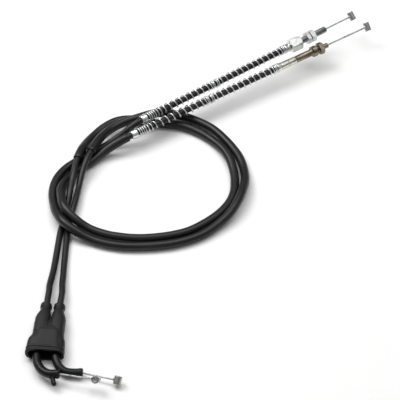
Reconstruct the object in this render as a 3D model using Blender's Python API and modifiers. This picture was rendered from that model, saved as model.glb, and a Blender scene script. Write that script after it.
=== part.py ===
"""A push/pull throttle cable set for a motorcycle, lying on a flat surface.

Two cables, pull and push, leave one rubber boot at the twistgrip end, make one overhand turn and
run straight out to the carburettor end. Each has a hollow casing, a thick slip-on sleeve, two
protective springs and an inner wire with a nipple at both ends. The pull cable ends in a hexagonal
adjuster with two lock nuts, and the push cable in a plated ferrule with a collar and one nut.
Lengths are in millimetres, multiplied by MM where an object is made. +Z is up.
"""
import math

import bmesh
import bpy
from mathutils import Matrix, Vector

MM = 0.001
GAP = 0.3                      # between two pieces that touch
ORIGIN = Vector((8.5, 3.0, 0.0))   # the set's own origin, in the layout that the routes use

# Cable sections, as radii
WIRE_R = 0.75
BORE_R = 1.35
CASING_R = 2.75
SLEEVE_BORE_R = 3.05
SLEEVE_R = 3.9
SPRING_WIRE_R = 0.55
SPRING_R = 3.75                # to the middle of the spring's wire
ELBOW_R = 3.6
CUP_R = 4.3
CARB_NIPPLE = (2.9, 8.0)       # radius and length of a barrel nipple
GRIP_NIPPLE = (3.2, 6.8)

# The springs' coils: the first few pitches at a cup and where two springs meet, then even open ones
CUP_PITCHES = (1.4, 2.1, 2.1, 2.2, 2.6, 3.4, 4.8)
END_PITCHES = (1.3, 1.9, 3.5)
OPEN_PITCH = 5.9
COIL_POINTS = 8                # points in each turn

# The straight carburettor ends: where each starts and which way it points
PULL_START = Vector((-47.1, 85.0, 18.9))
PULL_AXIS = Vector((185.3, 133.1, 2.9)).normalized()
PUSH_START = Vector((-48.6, 74.1, 14.9))
PUSH_AXIS = Vector((202.2, 132.0, 5.3)).normalized()

# Stations along each straight end, from its start towards the nipple
PULL_CUP = (-6.4, -0.8)
PULL_SPRINGS = ((-0.4, 73.2), (73.9, 152.4))
PULL_UPPER_CUP = (152.8, 158.9)
PULL_HEX = (159.2, 171.3)
PULL_CASING_END = 168.0
PULL_NUTS = ((177.8, 181.9), (182.4, 187.3))
PULL_TIP = 200.7
PULL_NIPPLE = 231.6
PUSH_CUP = (-14.6, -9.0)
PUSH_SPRINGS = ((-8.6, 67.2), (67.9, 140.9))
PUSH_UPPER_CUP = (141.3, 145.6)
PUSH_FERRULE = (145.9, 162.1)
PUSH_CASING_END = 158.0
PUSH_TUBE = (162.4, 198.0)
PUSH_COLLAR = (180.4, 185.0)
PUSH_NUT = (187.6, 192.4)
PUSH_NIPPLE = 243.0
PULL_TRAVEL = (-25.5, 24.0)    # carburettor nipple, out is positive
PUSH_TRAVEL = (-39.5, 24.5)

# The free stretch of each cable from its lower spring cup to the boot's neck
PULL_ROUTE = (
    (-60, 76.2, 16.7), (-72, 70.2, 9.6), (-84.4, 64, 4.4), (-96, 55, 4.1), (-107, 45, 4.1),
    (-118, 34.5, 4.1), (-125.5, 21, 4.1), (-128, 6, 4.1), (-126.5, -9, 5), (-123.5, -23, 8.2),
    (-117.5, -36, 10.8), (-107.5, -45.5, 9.3), (-94.5, -51.5, 5), (-81, -56.5, 4.1),
    (-66.5, -59.5, 4.1), (-52, -60, 4.1), (-37, -59, 4.1), (-22.5, -56.5, 4.1), (-8.5, -51.5, 4.1),
    (4, -44.5, 4.3), (15.5, -34.5, 5.4), (25.5, -23.5, 7.2), (32.5, -10, 8.6), (37, 4.5, 8.2),
    (39.5, 19.5, 6), (38.5, 34.5, 4.1), (35, 48.5, 4.1), (28.5, 62, 4.1), (20.5, 74.5, 4.1),
    (11, 86, 4.1), (-1, 95, 4.1), (-14, 101.5, 4.5), (-28, 102.5, 7.7), (-41, 97, 12.6), (-55, 92, 12),
    (-69.5, 88.5, 8.9), (-80.5, 80, 8.3), (-88, 66.5, 11.8), (-94, 52.5, 12.9), (-99.5, 38, 12.2),
    (-103.3, 24.5, 8.3), (-105.6, 10.5, 5.4), (-107.4, -4.5, 5.9), (-110, -19.5, 5.4), (-112.5, -35, 3.1),
    (-113.6, -50, 2.9), (-114.2, -65, 2.9), (-114.6, -80, 3.2), (-114.8, -92, 4), (-115, -104, 5.4),
)
PUSH_ROUTE = (
    (-74.6, 59.2, 11), (-85.8, 52.6, 6.6), (-95.7, 43.2, 4.8), (-106, 33.5, 4.1), (-115.6, 21.5, 4.4),
    (-120.6, 7.5, 8), (-120, -7, 10.8), (-116.5, -21.5, 13), (-107.5, -33, 10.7), (-95.5, -39.5, 5.2),
    (-81.5, -45.5, 4.1), (-67.5, -49, 4.1), (-52.5, -50.5, 4.1), (-37.5, -49.5, 4.1), (-22.5, -46.5, 4.1),
    (-9, -41.5, 4.1), (3.5, -33, 4.1), (14.5, -23, 4.1), (23.5, -11, 4.1), (29, 2.5, 4.1),
    (30.5, 17, 4.1), (29.5, 32, 4.3), (26, 46.5, 5.2), (19.5, 60, 5), (10, 72, 4.1), (-1, 81.5, 4.1),
    (-14.5, 89, 4.1), (-29, 92, 4.1), (-44, 94, 4.1), (-58.5, 98, 4.1), (-73.5, 96.5, 4.1),
    (-85.5, 88, 4.1), (-95, 76, 4.2), (-101, 62.5, 8.1), (-105, 48, 12.8), (-108.5, 33, 12.8),
    (-110.6, 18, 11.3), (-113, 3.5, 6.1), (-115, -11, 3.1), (-117, -26, 2.9), (-119.4, -41.5, 2.9),
    (-120.8, -57, 2.9), (-122, -72, 2.9), (-123.2, -86, 3.4), (-124.5, -97, 4.4), (-125.6, -107, 5.8),
)
ROUTE_STEP = 14.0
PULL_SLEEVE = (45.0, 575.0)    # where the thick sleeve starts and ends, along the free stretch
PUSH_SLEEVE = (5.0, 535.0)

# The boot: the middle of its mouth, and the way from there to its necks
BOOT_MOUTH = Vector((-126.2, -184.6, 7.0))
BOOT_AXIS = Vector((0.088, 0.996, 0.0)).normalized()
BOOT_LENGTH = 54.5
BOOT_WALL = 1.8
NECK_OFFSET = 5.55
NECK_R = 4.6
NECK_BORE_R = 3.25
BOOT_SLIDE = 12.0
CRIMP = (15.0, 27.0)           # the crimp caps inside the boot, from its mouth

# The bent pipes, from their crimp cap to their open end, and the nipples beyond them
PUSH_ELBOW = ((-132.1, -181, 7), (-132, -190.3, 7), (-130.4, -196, 7.2), (-127, -201.8, 7.7),
              (-121.5, -205.9, 8.5), (-112.9, -207, 9.3))
PULL_ELBOW = ((-117.7, -179, 6.9), (-116.9, -187.7, 6.6), (-114.4, -195.1, 5.8), (-110.3, -199.7, 5),
              (-104.6, -201.6, 4.7), (-94.5, -201.9, 4.6))
PUSH_GRIP_NIPPLE = Vector((-83.2, -214.5, 11.5))
PULL_GRIP_NIPPLE = Vector((-66.2, -210.2, 5.3))
PEG_START = Vector((-119.5, -206.4, 8.7))
PEG_END = Vector((-116.6, -216.7, 6.0))
PEG_R = 2.0
PEG_FOOT = 4.5                 # where the peg starts, clear of the pipe it stands on
ELBOW_START = 1.2              # from the crimp cap, clear of it as the pipe leans over

# The nipples' own axes, each across its wire
PULL_CARB_ACROSS = Vector((-0.48, 0.62, 0.62))
PUSH_CARB_ACROSS = Vector((-0.36, 0.64, 0.68))
PULL_GRIP_ACROSS = Vector((0.25, 0.68, 0.68))
PUSH_GRIP_ACROSS = Vector((-0.2, -0.69, 0.69))

# The inner wire
ROD_INSIDE = 4.0               # how much of a straight end stays inside at full travel
CORE_CLEARANCE = 1.5           # between the straight end and the fixed length behind it


# --- scene, materials and placing -------------------------------------------------------------

def clear_scene():
    for item in list(bpy.data.objects):
        bpy.data.objects.remove(item)


def collection(name):
    made = bpy.data.collections.new(name)
    bpy.context.scene.collection.children.link(made)
    return made


def surface(name, colour, roughness, metallic):
    made = bpy.data.materials.new(name)
    made.use_nodes = True
    shader = made.node_tree.nodes["Principled BSDF"]
    shader.inputs["Base Color"].default_value = (*colour, 1.0)
    shader.inputs["Roughness"].default_value = roughness
    shader.inputs["Metallic"].default_value = metallic
    return made


class Finish:
    """Colour, roughness and metallic of each finish; each part gets a material of its own."""
    vinyl = ((0.018, 0.018, 0.020), 0.42, 0.0)
    sleeve = ((0.016, 0.016, 0.018), 0.36, 0.0)
    rubber = ((0.024, 0.024, 0.026), 0.75, 0.0)
    black_pipe = ((0.012, 0.012, 0.013), 0.3, 0.0)
    zinc = ((0.62, 0.64, 0.66), 0.28, 1.0)
    bright_zinc = ((0.74, 0.75, 0.76), 0.2, 1.0)
    yellow_zinc = ((0.55, 0.53, 0.34), 0.32, 1.0)
    steel = ((0.42, 0.43, 0.45), 0.35, 1.0)


def place(thing, home, material):
    for other in list(thing.users_collection):
        other.objects.unlink(thing)
    home.objects.link(thing)
    if material is not None:
        thing.data.materials.clear()
        thing.data.materials.append(surface(thing.name, *material))
    return thing


def frame_along(start, axis):
    """A matrix whose Z runs along the axis, with its X kept level."""
    z = axis.normalized()
    x = Vector((z.y, -z.x, 0.0)).normalized()
    y = z.cross(x)
    return Matrix.Translation((start - ORIGIN) * MM) @ Matrix((x, y, z)).transposed().to_4x4()


def empty(name, start, axis, home):
    made = bpy.data.objects.new(name, None)
    made.empty_display_size = 0.005
    made.matrix_world = frame_along(start, axis)
    home.objects.link(made)
    return made


def attach(thing, parent, station=0.0):
    thing.parent = parent
    thing.location = (0.0, 0.0, station * MM)
    return thing


# --- routes -----------------------------------------------------------------------------------

def smooth(points, before, after, step):
    """Points at equal steps on a curve through the given points."""
    knots = [before, *[Vector(p) for p in points], after]
    dense = []
    for a, b, c, d in zip(knots, knots[1:], knots[2:], knots[3:]):
        for i in range(12):
            t = i / 12
            dense.append(0.5 * ((2 * b) + (c - a) * t + (2 * a - 5 * b + 4 * c - d) * t * t
                                + (3 * b - a - 3 * c + d) * t ** 3))
    dense.append(knots[-2])
    return resample(dense, step)


def resample(points, step):
    lengths = [0.0]
    for a, b in zip(points, points[1:]):
        lengths.append(lengths[-1] + (b - a).length)
    count = max(2, round(lengths[-1] / step))
    result, k = [], 0
    for i in range(count + 1):
        target = lengths[-1] * i / count
        while k < len(points) - 2 and lengths[k + 1] < target:
            k += 1
        t = (target - lengths[k]) / (lengths[k + 1] - lengths[k])
        result.append(points[k].lerp(points[k + 1], t))
    return result


def neck_point(side, distance):
    """A point on a neck's axis, at a distance from the boot's mouth; side is -1 push, 1 pull."""
    across = Vector((BOOT_AXIS.y, -BOOT_AXIS.x, 0.0))
    return BOOT_MOUTH + across * (side * NECK_OFFSET) + BOOT_AXIS * distance


def free_stretch(start, axis, cup_end, route, side):
    """The curved part of a cable, from its lower spring cup to just above the boot's neck."""
    first = start + axis * (cup_end - 2.0)
    last = neck_point(side, BOOT_LENGTH + BOOT_SLIDE + 2.0)
    end = neck_point(side, BOOT_LENGTH)
    return smooth([first, *route, last], start + axis * cup_end, end, ROUTE_STEP)


def part_of(points, start, end):
    """The run of a route's points between two distances along it."""
    total, kept = 0.0, []
    for a, b in zip(points, [*points[1:], points[-1]]):
        if start <= total <= end:
            kept.append(a)
        total += (b - a).length
    return kept


# --- shapes -----------------------------------------------------------------------------------

def line(name, points, radius, home, material, bevel=2, capped=True):
    """A round bar along points given in the layout's millimetres."""
    return curve_along(name, [(Vector(p) - ORIGIN) for p in points], radius, home, material, bevel, capped)


def curve_along(name, points, radius, home, material, bevel=2, capped=True):
    curve = bpy.data.curves.new(name, "CURVE")
    curve.dimensions = "3D"
    curve.bevel_depth = radius * MM
    curve.bevel_resolution = bevel
    curve.use_fill_caps = capped
    spline = curve.splines.new("POLY")
    spline.points.add(len(points) - 1)
    for target, point in zip(spline.points, points):
        target.co = (*(Vector(point) * MM), 1.0)
        target.tilt = 0.0
    spline.use_smooth = True
    return place(bpy.data.objects.new(name, curve), home, material)


def pipe(name, points, radius, bore, home, material):
    """A hollow tube: an open tube given a wall that grows inwards."""
    made = line(name, points, radius, home, material, capped=False)
    wall = made.modifiers.new("wall", "SOLIDIFY")
    wall.thickness = (radius - bore) * MM
    wall.offset = -1.0
    return made


def turned(name, profile, home, material, steps=16):
    """A turned piece; its outline runs down the outer side, and closes unless it ends on the axis."""
    mesh = bpy.data.meshes.new(name)
    points = [(r * MM, 0.0, z * MM) for r, z in profile]
    edges = [(i, i + 1) for i in range(len(points) - 1)]
    if profile[-1][0] > 0.0:
        edges.append((len(points) - 1, 0))
    mesh.from_pydata(points, edges, [])
    made = place(bpy.data.objects.new(name, mesh), home, material)
    screw = made.modifiers.new("turn", "SCREW")
    screw.axis = "Z"
    screw.steps = steps
    screw.render_steps = steps
    screw.use_merge_vertices = True
    screw.merge_threshold = 0.00001
    return made


def ring_profile(outer, bore, bottom, top, edge=0.4):
    return ((bore, top), (outer - edge, top), (outer, top - edge), (outer, bottom + edge),
            (outer - edge, bottom), (bore, bottom))


def hexagon(name, across_flats, bore, thickness, home, material):
    """A hexagonal plate with a round hole, standing on its own Z = 0."""
    curve = bpy.data.curves.new(name, "CURVE")
    curve.dimensions = "2D"
    curve.fill_mode = "BOTH"
    curve.extrude = thickness * MM / 2
    for sides, radius in ((6, across_flats / math.sqrt(3)), (16, bore)):
        spline = curve.splines.new("POLY")
        spline.points.add(sides - 1)
        spline.use_cyclic_u = True
        for i, point in enumerate(spline.points):
            angle = math.tau * i / sides
            point.co = (radius * MM * math.cos(angle), radius * MM * math.sin(angle), 0.0, 1.0)
    made = bpy.data.objects.new(name, curve)
    return place(made, home, material)


def cylinder(name, radius, bottom, top, home, sides=16):
    mesh = bpy.data.meshes.new(name)
    form = bmesh.new()
    bmesh.ops.create_cone(form, cap_ends=True, segments=sides, radius1=radius * MM, radius2=radius * MM,
                          depth=(top - bottom) * MM)
    bmesh.ops.translate(form, verts=form.verts, vec=(0.0, 0.0, (top + bottom) / 2 * MM))
    form.to_mesh(mesh)
    form.free()
    return place(bpy.data.objects.new(name, mesh), home, None)


def combine(thing, tool, operation):
    tool.hide_render = True
    tool.display_type = "WIRE"
    step = thing.modifiers.new(operation.lower(), "BOOLEAN")
    step.operation = operation
    step.solver = "EXACT"
    step.object = tool


# --- the cables -------------------------------------------------------------------------------

def coil(name, axis_empty, reach, first, home):
    """A protective spring: close coils at its two ends, opening out to even ones between them."""
    low, high = reach[0] + SPRING_WIRE_R, reach[1] - SPRING_WIRE_R
    open_length = high - low - sum(first) - sum(END_PITCHES)
    open_turns = round(open_length / OPEN_PITCH)
    pitches = [*first, *[open_length / open_turns] * open_turns, *reversed(END_PITCHES)]
    points, z = [(SPRING_R, 0.0, low)], low
    for pitch in pitches:
        for i in range(1, COIL_POINTS + 1):
            angle = math.tau * i / COIL_POINTS
            points.append((SPRING_R * math.cos(angle), SPRING_R * math.sin(angle), z + pitch * i / COIL_POINTS))
        z += pitch
    made = curve_along(name, points, SPRING_WIRE_R, home, Finish.bright_zinc, bevel=0)
    return attach(made, axis_empty)


def cable(side, start, axis, cup, casing_end, route, sleeve, springs, upper_cup, home):
    """Casing, sleeve, springs and cups of one cable. Returns its axis empty and its casing route."""
    name = "pull" if side > 0 else "push"
    line_empty = empty(name + "_carb_axis", start, axis, home)
    stretch = free_stretch(start, axis, cup[0], route, side)
    inside_end = neck_point(side, CRIMP[0] + 2.4)
    casing = [start + axis * casing_end, *stretch, inside_end]
    pipe(name + "_casing", casing, CASING_R, BORE_R, home, Finish.vinyl)
    pipe(name + "_sleeve", part_of(stretch, *sleeve), SLEEVE_R, SLEEVE_BORE_R, home, Finish.sleeve)
    for label, (bottom, top) in (("lower", cup), ("upper", upper_cup)):
        ring = turned(f"{name}_spring_cup_{label}", ring_profile(CUP_R, 3.1, 0.0, top - bottom), home,
                      Finish.bright_zinc)
        attach(ring, line_empty, bottom)
    for label, reach in zip(("lower", "upper"), springs):
        first = CUP_PITCHES if label == "lower" else END_PITCHES
        coil(f"{name}_spring_{label}", line_empty, reach, first, home)
    return line_empty, casing


def core(name, start, axis, station, casing, home):
    """The fixed length of inner wire, from behind the sliding rod to the pipe at the grip."""
    points = [start + axis * station, *casing[1:]]
    line(name, points, WIRE_R, home, Finish.steel, bevel=1)


def nipple(name, centre, axis, size, home):
    """A solid barrel nipple, with its edges broken."""
    radius, length = size
    half, edge = length / 2, 0.4
    outline = ((0.0, half), (radius - edge, half), (radius, half - edge), (radius, edge - half),
               (radius - edge, -half), (0.0, -half))
    made = turned(name, outline, home, Finish.zinc)
    made.matrix_world = frame_along(centre, axis)


# --- the carburettor ends ---------------------------------------------------------------------

def pull_fittings(axis_empty, home, tools):
    head = hexagon("pull_adjuster", 11.5, SLEEVE_BORE_R, PULL_HEX[1] - PULL_HEX[0], home, Finish.bright_zinc)
    head = as_mesh(head, home)
    attach(head, axis_empty, (PULL_HEX[0] + PULL_HEX[1]) / 2)
    length = PULL_TIP - PULL_CASING_END - GAP
    stem = turned("adjuster_stem", ring_profile(2.95, BORE_R, 0.0, length, 0.3), tools, None)
    attach(stem, axis_empty, PULL_CASING_END + GAP)
    plug = turned("adjuster_plug", ring_profile(4.2, BORE_R, 0.0, PULL_HEX[1] - PULL_CASING_END - GAP - 0.5, 0.2),
                  tools, None)
    attach(plug, axis_empty, PULL_CASING_END + GAP)
    combine(head, plug, "UNION")
    combine(head, stem, "UNION")
    for label, (bottom, top) in zip(("inner", "outer"), PULL_NUTS):
        nut = hexagon(f"pull_lock_nut_{label}", 10.0, 3.3, top - bottom, home, Finish.zinc)
        attach(nut, axis_empty, (bottom + top) / 2)


def push_fittings(axis_empty, home):
    low, high = PUSH_FERRULE
    inner = PUSH_CASING_END + GAP
    outline = ((BORE_R, high - low), (3.2, high - low), (3.5, high - low - 0.3), (3.5, 0.3), (3.2, 0.0),
               (3.05, 0.0), (3.05, inner - low), (BORE_R, inner - low))
    attach(turned("push_casing_ferrule", outline, home, Finish.bright_zinc), axis_empty, low)
    low, high = PUSH_TUBE
    collar = (PUSH_COLLAR[0] - low, PUSH_COLLAR[1] - low)
    top = high - low
    outline = ((BORE_R, top), (2.2, top), (2.4, top - 0.3), (2.4, top - 4.6), (2.95, top - 5.1),
               (2.95, collar[1]), (4.7, collar[1]), (5.0, collar[1] - 0.4), (5.0, collar[0] + 0.4),
               (4.7, collar[0]), (3.2, collar[0]), (3.2, 0.3), (2.9, 0.0), (BORE_R, 0.0))
    attach(turned("push_threaded_ferrule", outline, home, Finish.yellow_zinc), axis_empty, low)
    bottom, top = PUSH_NUT
    nut = hexagon("push_lock_nut", 10.0, 3.3, top - bottom, home, Finish.zinc)
    attach(nut, axis_empty, (bottom + top) / 2)


def as_mesh(thing, home):
    """The same object as a mesh with its loose caps welded, so that it can be cut and joined."""
    bpy.context.view_layer.update()
    graph = bpy.context.evaluated_depsgraph_get()
    mesh = bpy.data.meshes.new_from_object(thing.evaluated_get(graph))
    form = bmesh.new()
    form.from_mesh(mesh)
    bmesh.ops.remove_doubles(form, verts=form.verts, dist=0.000001)
    bmesh.ops.recalc_face_normals(form, faces=form.faces)
    form.to_mesh(mesh)
    form.free()
    name = thing.name
    matrix = thing.matrix_world.copy()
    curve = thing.data
    bpy.data.objects.remove(thing)
    bpy.data.curves.remove(curve)
    made = bpy.data.objects.new(name, mesh)
    made.matrix_world = matrix
    home.objects.link(made)
    return made


def sliding_rod(name, start, axis, tip, nipple_station, travel, home):
    """The straight inner wire at the carburettor end. Returns the station where the fixed length stops."""
    low = tip - travel[1] - ROD_INSIDE
    high = nipple_station - CARB_NIPPLE[0] - GAP
    line(name + "_carb_wire", [start + axis * low, start + axis * high], WIRE_R, home, Finish.steel)
    return low + travel[0] - CORE_CLEARANCE


# --- the grip end -----------------------------------------------------------------------------

def loft(name, rows, home, material):
    """A closed body through oval rows; each is (y, middle x, half width, half height, squareness)."""
    sides = 24
    form = bmesh.new()
    rings = []
    for y, middle, half_width, half_height, power in rows:
        ring = []
        for i in range(sides):
            angle = math.tau * i / sides
            c, s = math.cos(angle), math.sin(angle)
            x = middle + half_width * math.copysign(abs(c) ** power, c)
            z = half_height * math.copysign(abs(s) ** power, s)
            ring.append(form.verts.new((x * MM, y * MM, z * MM)))
        rings.append(ring)
    for a, b in zip(rings, rings[1:]):
        for i in range(sides):
            j = (i + 1) % sides
            form.faces.new((a[i], a[j], b[j], b[i]))
    form.faces.new(rings[0])
    form.faces.new(rings[-1])
    bmesh.ops.recalc_face_normals(form, faces=form.faces)
    mesh = bpy.data.meshes.new(name)
    form.to_mesh(mesh)
    form.free()
    return place(bpy.data.objects.new(name, mesh), home, material)


def boot(home, tools):
    """The rubber boot: a flattened cup with two necks, hollow, open at its mouth."""
    turn = Matrix.Rotation(-math.atan2(BOOT_AXIS.x, BOOT_AXIS.y), 4, "Z")
    world = Matrix.Translation((BOOT_MOUTH - ORIGIN) * MM) @ turn
    body_rows = ((0.0, 0.0, 15.4, 7.0, 0.62), (2.5, 0.0, 15.8, 7.0, 0.62), (9.0, 0.0, 15.0, 6.9, 0.62),
                 (14.0, 0.3, 14.2, 6.9, 0.65), (20.0, 0.3, 13.0, 6.6, 0.7), (32.0, 0.2, 12.4, 6.2, 0.7),
                 (36.0, 0.1, 11.4, 5.4, 0.75))
    made = loft("boot", body_rows, home, Finish.rubber)
    made.matrix_world = world
    for side in (-1, 1):
        middle = side * NECK_OFFSET
        rows = ((30.0, middle * 1.08, 6.2, 5.8, 0.85), (40.0, middle * 1.04, 5.3, 5.1, 0.95),
                (49.0, middle, NECK_R - 0.5, NECK_R - 0.5, 1.0), (50.0, middle, NECK_R, NECK_R, 1.0),
                (BOOT_LENGTH, middle, NECK_R, NECK_R, 1.0))
        neck = loft(f"boot_neck_{side}", rows, tools, None)
        neck.matrix_world = world
        combine(made, neck, "UNION")
    hollow_rows = ((-1.0, 0.0, 15.4 - BOOT_WALL, 7.0 - BOOT_WALL, 0.62),
                   (14.0, 0.3, 14.2 - BOOT_WALL, 6.9 - BOOT_WALL, 0.65),
                   (31.0, 0.2, 12.2 - BOOT_WALL, 6.1 - BOOT_WALL, 0.7))
    hollow = loft("boot_hollow", hollow_rows, tools, None)
    hollow.matrix_world = world
    combine(made, hollow, "DIFFERENCE")
    for side in (-1, 1):
        bore = cylinder(f"boot_bore_{side}", NECK_BORE_R, 25.0, BOOT_LENGTH + 2.0, tools)
        bore.matrix_world = frame_along(neck_point(side, 0.0), BOOT_AXIS)
        combine(made, bore, "DIFFERENCE")


def grip_end(side, elbow_route, nipple_centre, nipple_axis, home):
    """Crimp cap, bent pipe, straight inner wire and nipple. Returns the pipe's own line."""
    name = "pull" if side > 0 else "push"
    low, high = CRIMP
    step = low + 2.4 - GAP
    cap = turned(name + "_crimp_cap", ((3.05, high - low), (3.5, high - low), (3.8, high - low - 0.3), (3.8, 0.3),
                                       (3.5, 0.0), (BORE_R, 0.0), (BORE_R, step - low), (3.05, step - low)),
                 home, Finish.zinc)
    cap.matrix_world = frame_along(neck_point(side, low), BOOT_AXIS)
    first = neck_point(side, low - ELBOW_START)
    before = neck_point(side, low + 10.0)
    last = Vector(elbow_route[-1])
    direction = (nipple_centre - last).normalized()
    points = smooth([first, *elbow_route[:-1], last], before, last + direction * 8.0, 3.2)
    pipe(name + "_elbow", points, ELBOW_R, BORE_R, home, Finish.black_pipe)
    wire_start = last - direction * CORE_CLEARANCE
    wire_end = nipple_centre - direction * (GRIP_NIPPLE[0] + GAP)
    line(name + "_grip_wire", [wire_start, wire_end], WIRE_R, home, Finish.steel)
    nipple(name + "_grip_nipple", nipple_centre, nipple_axis, GRIP_NIPPLE, home)
    return points[:-1]


def peg(home):
    """The round-ended locating peg on the push pipe."""
    direction = (PEG_END - PEG_START).normalized()
    length = (PEG_END - PEG_START).length
    dome = [math.pi / 2 * i / 4 for i in range(1, 5)]
    outline = [(0.0, length)]
    outline += [(PEG_R * math.sin(a), length - PEG_R + PEG_R * math.cos(a)) for a in dome]
    outline += [(PEG_R, PEG_FOOT), (0.0, PEG_FOOT)]
    made = turned("locating_peg", outline, home, Finish.black_pipe, steps=12)
    made.matrix_world = frame_along(PEG_START, direction)


def main():
    clear_scene()
    home = collection("throttle_cable_set")
    tools = collection("cutters")
    pull_axis, pull_casing = cable(1, PULL_START, PULL_AXIS, PULL_CUP, PULL_CASING_END, PULL_ROUTE, PULL_SLEEVE,
                                   PULL_SPRINGS, PULL_UPPER_CUP, home)
    push_axis, push_casing = cable(-1, PUSH_START, PUSH_AXIS, PUSH_CUP, PUSH_CASING_END, PUSH_ROUTE, PUSH_SLEEVE,
                                   PUSH_SPRINGS, PUSH_UPPER_CUP, home)
    pull_fittings(pull_axis, home, tools)
    push_fittings(push_axis, home)
    pull_behind = sliding_rod("pull", PULL_START, PULL_AXIS, PULL_TIP, PULL_NIPPLE, PULL_TRAVEL, home)
    push_behind = sliding_rod("push", PUSH_START, PUSH_AXIS, PUSH_TUBE[1], PUSH_NIPPLE, PUSH_TRAVEL, home)
    nipple("pull_carb_nipple", PULL_START + PULL_AXIS * PULL_NIPPLE, PULL_CARB_ACROSS, CARB_NIPPLE, home)
    nipple("push_carb_nipple", PUSH_START + PUSH_AXIS * PUSH_NIPPLE, PUSH_CARB_ACROSS, CARB_NIPPLE, home)
    pull_bend = grip_end(1, PULL_ELBOW, PULL_GRIP_NIPPLE, PULL_GRIP_ACROSS, home)
    push_bend = grip_end(-1, PUSH_ELBOW, PUSH_GRIP_NIPPLE, PUSH_GRIP_ACROSS, home)
    core("pull_core_wire", PULL_START, PULL_AXIS, pull_behind, pull_casing + pull_bend, home)
    core("push_core_wire", PUSH_START, PUSH_AXIS, push_behind, push_casing + push_bend, home)
    peg(home)
    boot(home, tools)
    bpy.context.view_layer.update()


main()
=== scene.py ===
"""The looks of the throttle cable set: cables, springs, adjusters, boot, pipes and nipples."""
import math

import bmesh
import bpy
import numpy as np
from mathutils import Matrix, Vector


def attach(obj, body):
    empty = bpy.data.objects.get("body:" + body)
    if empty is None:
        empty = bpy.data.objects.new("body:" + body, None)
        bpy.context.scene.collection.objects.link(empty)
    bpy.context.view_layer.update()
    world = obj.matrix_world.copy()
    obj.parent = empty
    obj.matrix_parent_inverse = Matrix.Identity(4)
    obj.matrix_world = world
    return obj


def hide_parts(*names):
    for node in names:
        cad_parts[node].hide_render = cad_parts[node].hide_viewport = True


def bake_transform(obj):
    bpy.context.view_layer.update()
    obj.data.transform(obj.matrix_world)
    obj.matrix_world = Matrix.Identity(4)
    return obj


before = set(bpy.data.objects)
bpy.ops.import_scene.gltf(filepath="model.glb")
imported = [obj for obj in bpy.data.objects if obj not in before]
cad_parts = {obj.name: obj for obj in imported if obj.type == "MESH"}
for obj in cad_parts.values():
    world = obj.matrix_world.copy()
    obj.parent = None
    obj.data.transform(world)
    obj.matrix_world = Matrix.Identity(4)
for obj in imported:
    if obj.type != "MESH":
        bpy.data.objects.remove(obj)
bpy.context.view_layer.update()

MM = 0.001
ORIGIN = Vector((8.5, 3.0, 0.0))     # the set's own origin, in the layout that the routes use

# Sections, in millimetres; R is a radius
WIRE_R = 0.75
STRANDS = 7
STRAND_PITCH = 9.0                   # one full twist of the strands
STRAND_DEPTH = 0.3                   # the grooves between them, as a share of the wire's radius
BORE_R = 1.35
CASING_R = 2.75
SLEEVE_R = 3.9
ELBOW_R = 3.6
CUP_R = 4.3
CARB_NIPPLE = (2.9, 8.0)             # radius and length
GRIP_NIPPLE = (3.2, 6.8)

# Protective springs
SPRING_WIRE_R = 0.55
SPRING_R = 3.75
SPRING_WANDER = 0.22                 # how far a coil strays from its even place
CUP_PITCHES = (1.4, 2.1, 2.1, 2.2, 2.6, 3.4, 4.8)   # the close coils next to a lower cup
END_PITCHES = (1.3, 1.9, 3.5)                       # and at every other end
OPEN_PITCH = 5.9

# The straight carburettor ends, and the stations along them
PULL_START = Vector((-47.1, 85.0, 18.9))
PULL_AXIS = Vector((185.3, 133.1, 2.9)).normalized()
PUSH_START = Vector((-48.6, 74.1, 14.9))
PUSH_AXIS = Vector((202.2, 132.0, 5.3)).normalized()
PULL_CUP = (-6.4, -0.8)
PULL_SPRINGS = ((-0.4, 73.2), (73.9, 152.4))
PULL_UPPER_CUP = (152.8, 158.9)
PULL_HEX = (159.2, 171.3)
PULL_NUTS = ((177.8, 181.9), (182.4, 187.3))
PULL_TIP = 200.7
PULL_NIPPLE = 231.6
PUSH_CUP = (-14.6, -9.0)
PUSH_SPRINGS = ((-8.6, 67.2), (67.9, 140.9))
PUSH_UPPER_CUP = (141.3, 145.6)
PUSH_FERRULE = (145.9, 162.1)
PUSH_TUBE = (162.4, 198.0)
PUSH_COLLAR = (180.4, 185.0)
PUSH_NUT = (187.6, 192.4)
PUSH_NIPPLE = 243.0
CASING_ENDS = {"pull": 168.0, "push": 158.0}
TRAVEL_OUT = {"pull": 24.0, "push": 24.5}   # how far an inner wire can slide out of its fitting
WIRE_INSIDE = 4.0                           # and how much of it is still inside then
NUT_FLATS = 10.0
HEX_FLATS = 11.5
HEX_BORE_R = 3.0
COLLAR_R = 5.0
TUBE_R = 3.2
TIP_R = 2.4
TIP_LENGTH = 5.1
THREAD_R = 2.95
THREAD_PITCH = 1.0
THREAD_DEPTH = 0.5
ROUND_BELOW = 2.5                           # a narrower step beside a thread isn't threaded

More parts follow.
